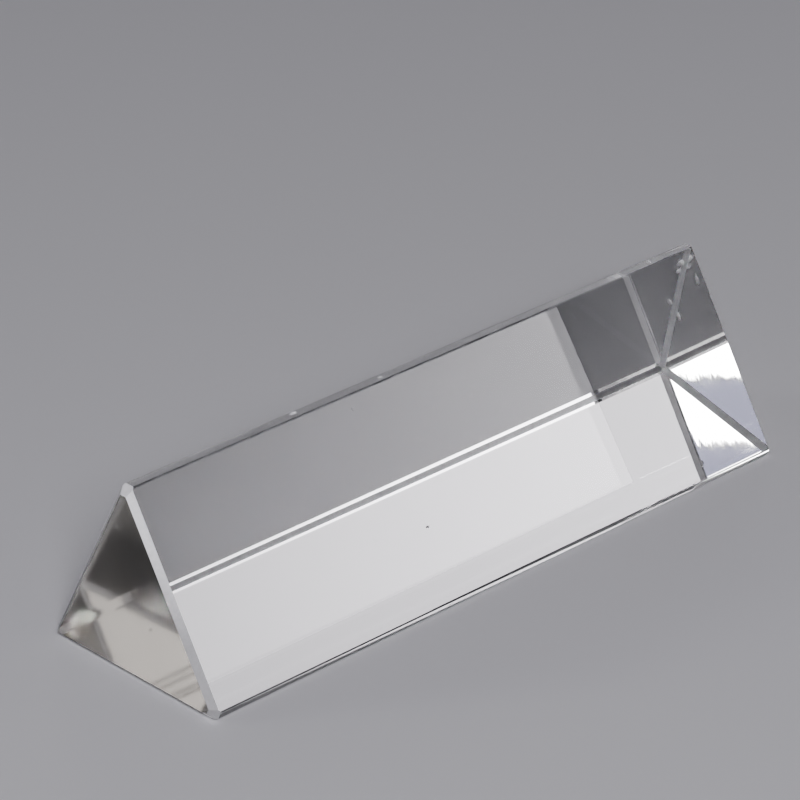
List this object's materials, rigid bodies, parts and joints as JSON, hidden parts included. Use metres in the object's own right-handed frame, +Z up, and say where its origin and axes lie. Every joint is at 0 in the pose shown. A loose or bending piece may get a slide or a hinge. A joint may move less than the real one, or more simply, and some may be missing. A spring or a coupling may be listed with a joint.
{
  "type": "triangular glass prism",
  "caption": "Solid bar of clear optical glass with an equilateral triangular section and ground edge bevels, made to bend and disperse light through its polished long faces.",
  "frame": {"origin": "on the base face, which the prism lies on, below the middle of the prism", "axes": "+X along the length, +Z up from the base face to the ridge, and the front long face towards -Y"},
  "size_m": [0.08, 0.0252, 0.0214],
  "materials": {
    "optical_glass": "polished long faces, duller end faces and fine-ground bevels"
  },
  "bodies": {
    "root": {"glass_prism": "optical_glass"}
  },
  "joints": []
}
